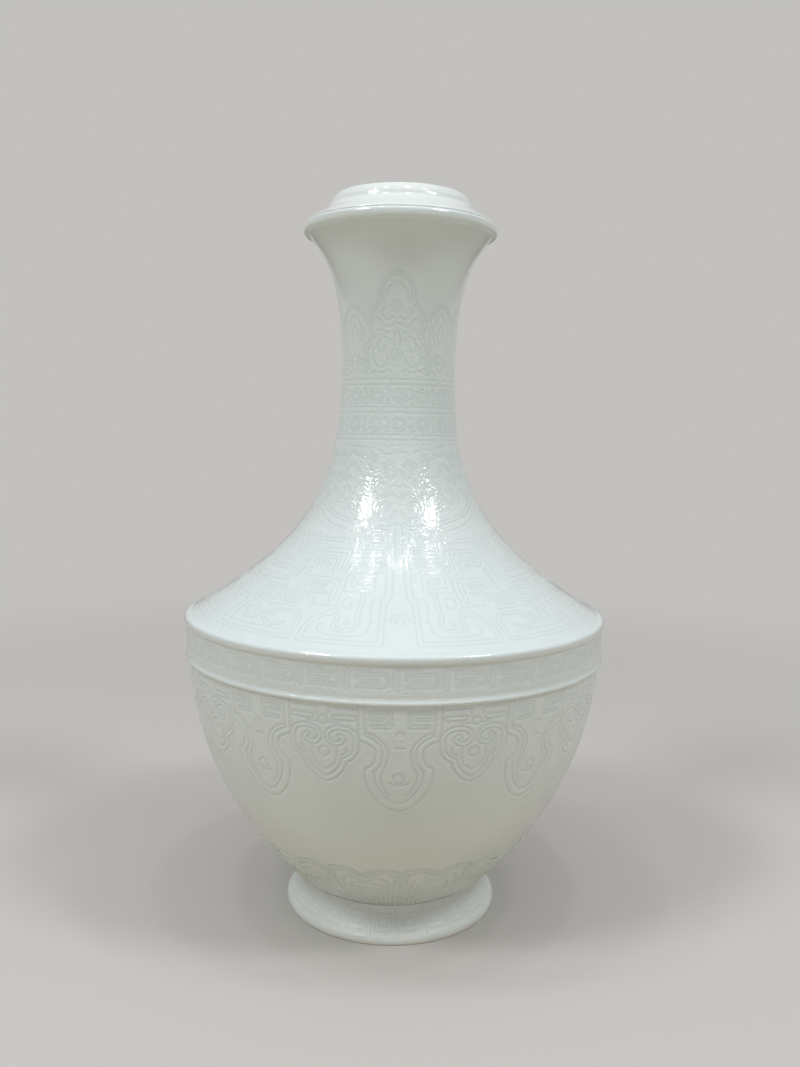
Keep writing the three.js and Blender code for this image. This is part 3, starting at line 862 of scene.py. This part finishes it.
leaf_strokes = [
    loop_stroke((0, 223.2), 1.9, 24),
    loop_stroke((0, 223.2), 0.7, 24),
    smooth_stroke((0, 231.6), (4, 230.7), (7.6, 229), (9.8, 226.8), (10.8, 224.4)),
    smooth_stroke((3.4, 219.8), (7, 218.9), (11, 219.4), (13.4, 221.4), (12.4, 223),
                  (10, 222.6)),
    smooth_stroke((0, 217.9), (4, 217), (9, 216.6), (13, 217.4), (17, 219.3), (20.8, 219.2),
                  (22.6, 217.2)),
    smooth_stroke((4.6, 214.8), (9, 214.6), (14, 215.6), (18.4, 215.4)),
    smooth_stroke((0, 215.6), (2.4, 214), (3.2, 211.9), (2.4, 210.2)),
    loop_stroke((0, 207), 1.9, 21),
    loop_stroke((0, 207), 0.7, 21),
    smooth_stroke((7, 212), (11, 213), (16, 212.4), (18.8, 210), (16, 208), (12.4, 208.6),
                  (12, 210.2)),
    smooth_stroke((7.6, 206.6), (10, 204), (14.8, 202.6), (19.8, 203.4), (23.4, 206.4),
                  (22.8, 209.8)),
    smooth_stroke((5.4, 200.8), (8.8, 202), (12, 200.8), (16.6, 200.9), (21, 201.3), (26, 200.7)),
    smooth_stroke((26.6, 206.6), (28, 204), (27, 201.8)),
    smooth_stroke((45, 220.8), (41.4, 220), (37.6, 218), (36, 215.2), (37.4, 212.4), (41, 210.9)),
    smooth_stroke((31, 216.6), (33.2, 214.6), (32.6, 211.8), (34.6, 208.4)),
    smooth_stroke((45, 217.4), (42, 216), (41, 213.6), (42.8, 211.8), (45, 211.6)),
    loop_stroke((45, 205.6), 1.5, 21.1),
    loop_stroke((36, 204.4), 0.9, 21.1),
    smooth_stroke((39, 208), (40.6, 204), (42.4, 202), (45, 201.4)),
    smooth_stroke((33.4, 200.8), (36.4, 201.5), (39.4, 200.8)),
]
for zone_name, low, high, pitch, pattern in (
    ("neck_roundel_bands", SHOULDER_TOP, LEAF_BASE, 0.3,
     (roundel_strokes + band_strokes, [], 22.5, False, PATTERN_TURN, ROUNDEL_DEPTH, 0.3)),
    ("neck_leaves", LEAF_BASE, NECK_TOP, 0.32,
     (leaf_strokes, leaf_straps, 90, True, LEAF_TURN, LEAF_DEPTH, 0.32)),
):
    zone_outside, _ = paced(neck_line, pitch, low, high)
    zone = throw(
        zone_name, zone_outside, bore(neck_line, low, high, NECK_WALL, NECK_WALL, 6),
        NECK_COLUMNS, zone_outside[:, 1], pattern,
    )
    zone.data.materials.append(vase_glaze)
    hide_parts("neck")
    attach(zone, "vase")

# Lip: a soft roll of porcelain turned over the head of the neck, with a flat seat for the
# cover round the mouth. Smooth and glazed.
MOUTH_RADIUS = 26.52
LIP_RADIUS = 35.4
LIP_WIDEST = 253.0
SEAT_RADIUS = 33.8
SEAT_HEIGHT = 254.5

lip_line = outline(
    bezier((33.1, NECK_TOP), (35.0, NECK_TOP), (LIP_RADIUS, 251.0), (LIP_RADIUS, LIP_WIDEST)),
    rounded_edge(
        (SEAT_RADIUS, LIP_WIDEST), (LIP_RADIUS - SEAT_RADIUS, SEAT_HEIGHT - LIP_WIDEST), 0, 90
    ),
)
lip = throw(
    "lip_roll", paced(lip_line, 0.25)[0], [(MOUTH_RADIUS, SEAT_HEIGHT), (MOUTH_RADIUS, NECK_TOP)],
    NECK_COLUMNS,
)
lip.data.materials.append(vase_glaze)
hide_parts("mouth_lip")
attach(lip, "vase")

# Cover: a low porcelain cone that lies loose on the seat, with a ring luted on top to lift
# it by and a ring beneath that drops into the mouth. Glazed, a little paler than the vase.
COVER_GLAZE_COLOUR = (0.78, 0.86, 0.87, 1)
COVER_THIN_COLOUR = (0.83, 0.89, 0.88, 1)
COVER_RADIUS = 34.3
GRIP_RADIUS = 26.4
GRIP_DRAFT = 1.8
GRIP_WALL = 4.6
GRIP_TOP = 264.6
COVER_TOP = 260.8
FLANGE_BORE = 22.52
FLANGE_RADIUS = 25.52
FLANGE_BOTTOM = 248.5
HOLLOW_TOP = 257.2
COVER_EDGE_TOP = 254.9
COVER_COLUMNS = 360

cover_glaze = glaze_finish(
    "pale_cover_glaze", COVER_GLAZE_COLOUR, COVER_THIN_COLOUR, GLAZE_COAT, GLAZE_GLOSS
)
slope_corner = np.array(
    [(COVER_RADIUS + GRIP_RADIUS) / 2, COVER_EDGE_TOP * 0.55 + COVER_TOP * 0.45]
)
cone_foot = np.array([COVER_RADIUS, COVER_EDGE_TOP])
cone_head = np.array([GRIP_RADIUS, COVER_TOP])
cone_line = outline(
    [(COVER_RADIUS, SEAT_HEIGHT)],
    bezier(cone_foot, (cone_foot + 2 * slope_corner) / 3, cone_head + (0.6, -2.0), cone_head),
)
cone = throw(
    "cover_cone", paced(cone_line, 0.3)[0],
    [(0, COVER_TOP), (0, HOLLOW_TOP), (FLANGE_BORE * 0.7, HOLLOW_TOP), (FLANGE_BORE, SEAT_HEIGHT)],
    COVER_COLUMNS,
)
crown = (GRIP_WALL - GRIP_DRAFT) / 2
grip_crown = rounded_edge(
    (GRIP_RADIUS - GRIP_DRAFT - crown, GRIP_TOP - crown * 0.8), (crown, crown * 0.8), 30, 180
)
grip_line = outline(
    bezier(
        (GRIP_RADIUS, COVER_TOP), (GRIP_RADIUS - 0.35, COVER_TOP + 1.4),
        grip_crown[0] + (0.59, -0.79), grip_crown[0],
    ),
    grip_crown,
)
grip = throw(
    "cover_ring", paced(grip_line, 0.25)[0], [(GRIP_RADIUS - GRIP_WALL, COVER_TOP)], COVER_COLUMNS
)
flange_line = outline([(FLANGE_RADIUS, FLANGE_BOTTOM), (FLANGE_RADIUS, SEAT_HEIGHT)])
flange = throw(
    "cover_flange", paced(flange_line, 1)[0],
    [(FLANGE_BORE, SEAT_HEIGHT), (FLANGE_BORE, FLANGE_BOTTOM)], COVER_COLUMNS,
)
for piece, node in (
    (cone, "cover_dome"), (grip, "cover_ring_grip"), (flange, "cover_locating_flange"),
):
    piece.data.materials.append(cover_glaze)
    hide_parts(node)
    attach(piece, "cover")
